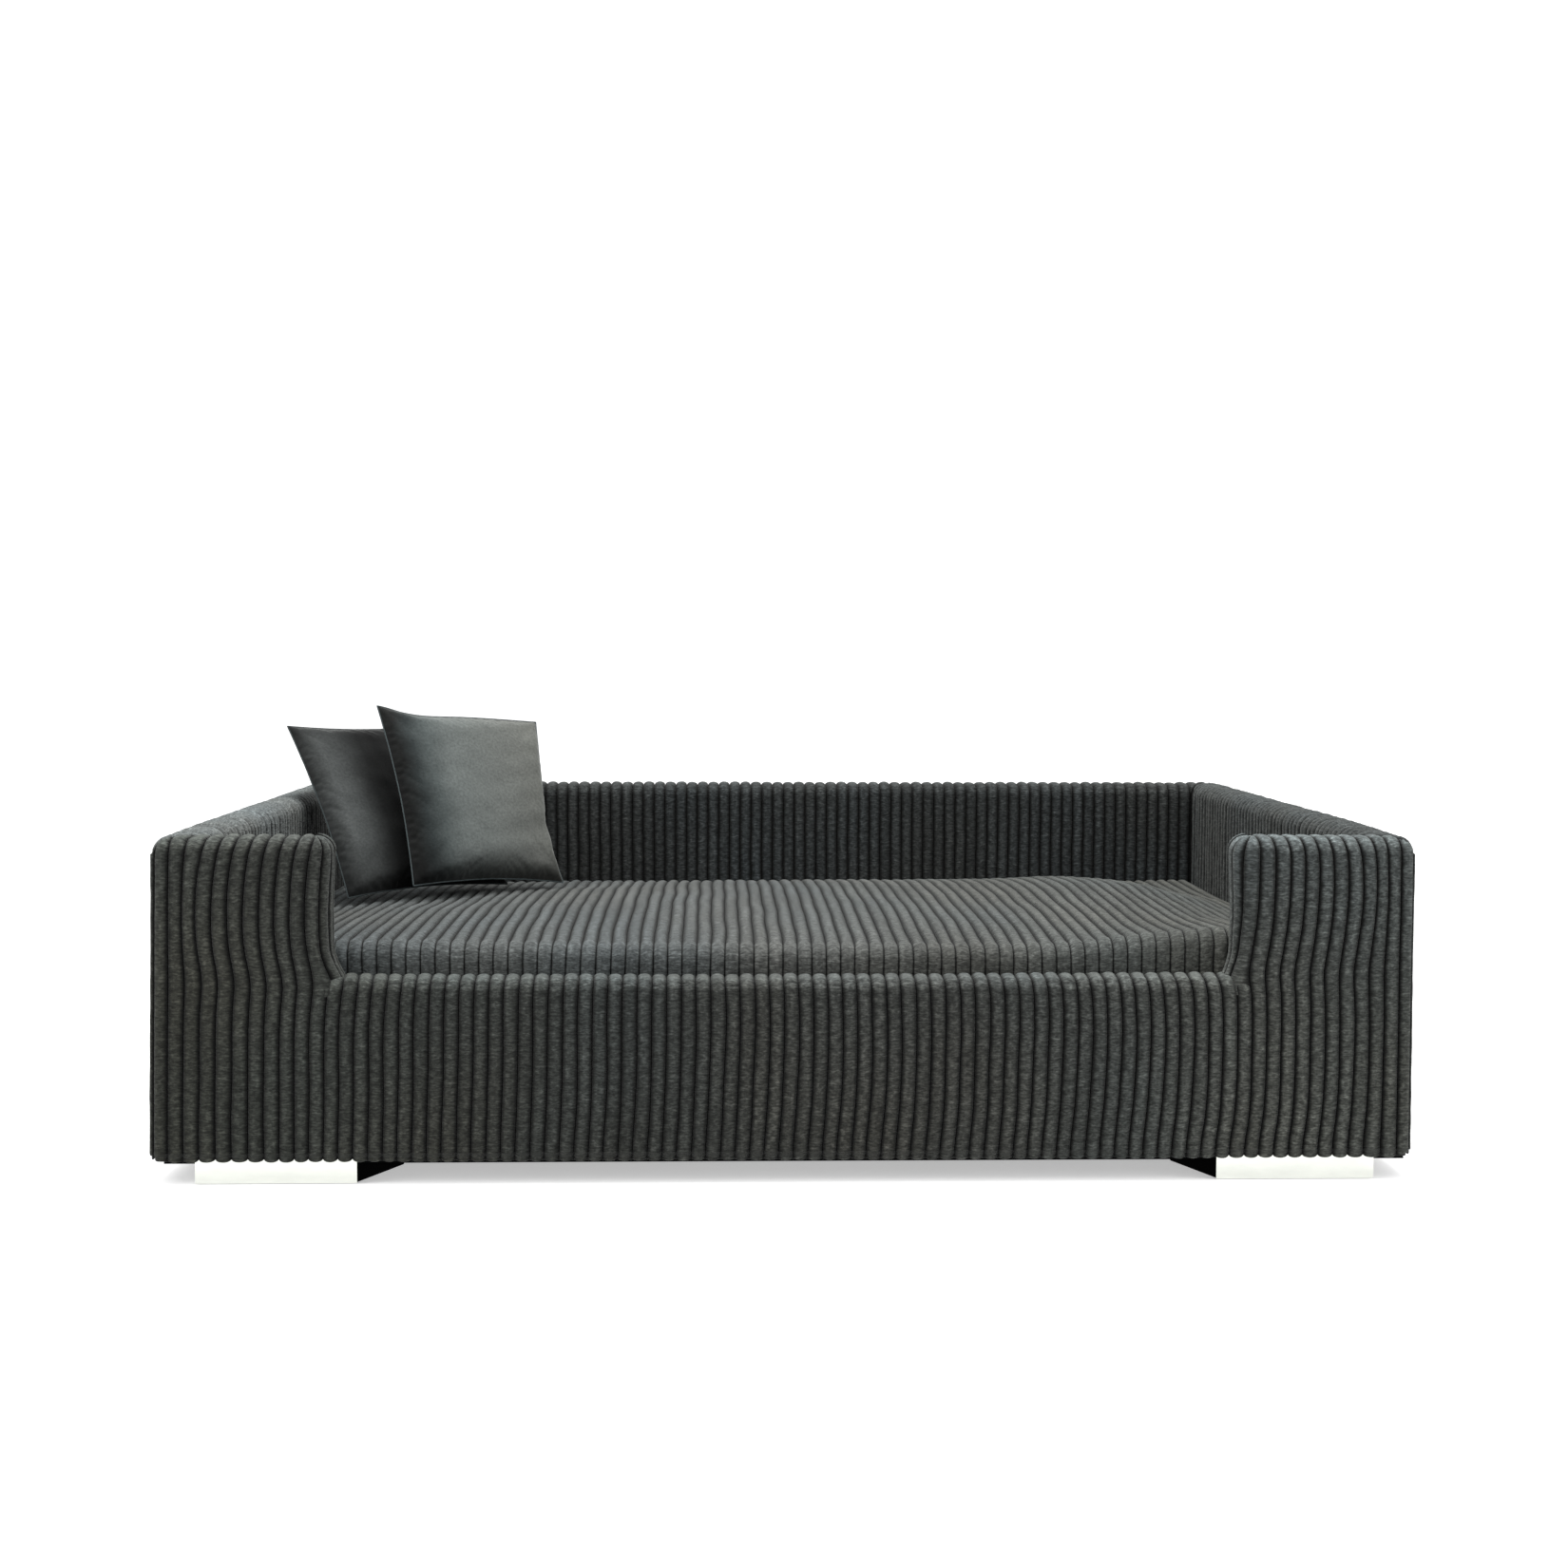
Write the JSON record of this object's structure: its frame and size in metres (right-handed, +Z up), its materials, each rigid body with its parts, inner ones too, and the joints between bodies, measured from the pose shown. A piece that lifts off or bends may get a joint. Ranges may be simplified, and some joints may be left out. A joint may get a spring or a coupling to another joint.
{
  "type": "dog sofa bed",
  "caption": "Low upholstered dog sofa in wide-wale corduroy with a loose seat cushion, throw pillows, a low front for stepping in and chrome feet.",
  "frame": {"origin": "on the floor under the middle of the sofa", "axes": "+X along the sofa's width, to the right as seen from its open front; -Y towards the open front; +Z up"},
  "size_m": [1.2, 0.8, 0.4454],
  "materials": {
    "corduroy": "wide-wale corduroy, dark grey green, soft pile on the wales",
    "velvet": "short smooth velvet, dark grey green, soft sheen",
    "filling": "white polyester fibre",
    "foam": "pale upholstery foam",
    "board": "sawn softwood ply, unfinished",
    "lining": "black non-woven lining",
    "zinc_steel": "zinc-plated wood screw",
    "chrome": "mirror chrome",
    "black_foot": "black moulded plastic",
    "felt": "dense felt glide",
    "zip_tape": "woven zip tape with nylon coil",
    "zip_metal": "dark nickel"
  },
  "bodies": {
    "frame": {"back_left_foot_block": "black_foot", "back_left_foot_sleeve": "chrome", "back_panel": "board", "back_right_foot_block": "black_foot", "back_right_foot_sleeve": "chrome", "back_wall_cover": "corduroy", "back_wall_foam": "foam", "bottom_board": "board", "bottom_lining": "lining", "centre_bearers": "board", "corner_blocks": "board", "deck_battens": "board", "deck_lining": "lining", "deck_panel": "board", "deck_screws": "zinc_steel", "foot_glides": "felt", "foot_screws": "zinc_steel", "front_left_foot_block": "black_foot", "front_left_foot_sleeve": "chrome", "front_rail_foam": "foam", "front_rail_panel": "board", "front_right_foot_block": "black_foot", "front_right_foot_sleeve": "chrome", "front_sill_cover": "corduroy", "left_arm_cover": "corduroy", "left_arm_foam": "foam", "left_arm_panel": "board", "left_post_cover": "corduroy", "left_post_foam": "foam", "left_post_panel": "board", "panel_screws": "zinc_steel", "right_arm_cover": "corduroy", "right_arm_foam": "foam", "right_arm_panel": "board", "right_post_cover": "corduroy", "right_post_foam": "foam", "right_post_panel": "board"},
    "seat_cushion": {"seat_cover": "corduroy", "seat_foam": "foam", "seat_wadding": "filling", "seat_zip": "zip_tape"},
    "seat_zip_slider": {"seat_zip_slider": "zip_metal"},
    "seat_zip_pull": {"seat_zip_pull": "zip_metal"},
    "rear_pillow": {"rear_pillow_cover": "velvet", "rear_pillow_filling": "filling", "rear_pillow_zip": "zip_tape"},
    "rear_pillow_zip_slider": {"rear_pillow_zip_slider": "zip_metal"},
    "rear_pillow_zip_pull": {"rear_pillow_zip_pull": "zip_metal"},
    "front_pillow": {"front_pillow_cover": "velvet", "front_pillow_filling": "filling", "front_pillow_zip": "zip_tape"},
    "front_pillow_zip_slider": {"front_pillow_zip_slider": "zip_metal"},
    "front_pillow_zip_pull": {"front_pillow_zip_pull": "zip_metal"}
  },
  "joints": [
    {"name": "seat_cushion_lift", "type": "slide", "parent": "frame", "child": "seat_cushion", "axis": [0, 0, 1], "range_m": [0, 0.26]},
    {"name": "seat_zip_slide", "type": "slide", "parent": "seat_cushion", "child": "seat_zip_slider", "axis": [-1, 0, 0], "range_m": [0, 0.8]},
    {"name": "seat_zip_pull_turn", "type": "hinge", "parent": "seat_zip_slider", "child": "seat_zip_pull", "pos_m": [0.403, 0.3482, 0.168], "axis": [0, 0, -1], "range_deg": [0, 20]},
    {"name": "rear_pillow_lift", "type": "slide", "parent": "seat_cushion", "child": "rear_pillow", "axis": [-0.3762, 0.4077, 0.8321], "range_m": [0, 0.25]},
    {"name": "rear_pillow_zip_slide", "type": "slide", "parent": "rear_pillow", "child": "rear_pillow_zip_slider", "axis": [-0.7374, -0.6754, 0.0055], "range_m": [0, 0.12]},
    {"name": "rear_pillow_zip_pull_turn", "type": "hinge", "parent": "rear_pillow_zip_slider", "child": "rear_pillow_zip_pull", "pos_m": [-0.38386, 0.16444, 0.23272], "axis": [0.5199, -0.5727, -0.6338], "range_deg": [0, 60]},
    {"name": "front_pillow_lift", "type": "slide", "parent": "seat_cushion", "child": "front_pillow", "axis": [-0.2786, 0.3203, 0.9054], "range_m": [0, 0.25]},
    {"name": "front_pillow_zip_slide", "type": "slide", "parent": "front_pillow", "child": "front_pillow_zip_slider", "axis": [-0.77, -0.6358, 0.0543], "range_m": [0, 0.12]},
    {"name": "front_pillow_zip_pull_turn", "type": "hinge", "parent": "front_pillow_zip_slider", "child": "front_pillow_zip_pull", "pos_m": [-0.30171, 0.16648, 0.23967], "axis": [0.3961, -0.543, -0.7404], "range_deg": [0, 60]}
  ]
}
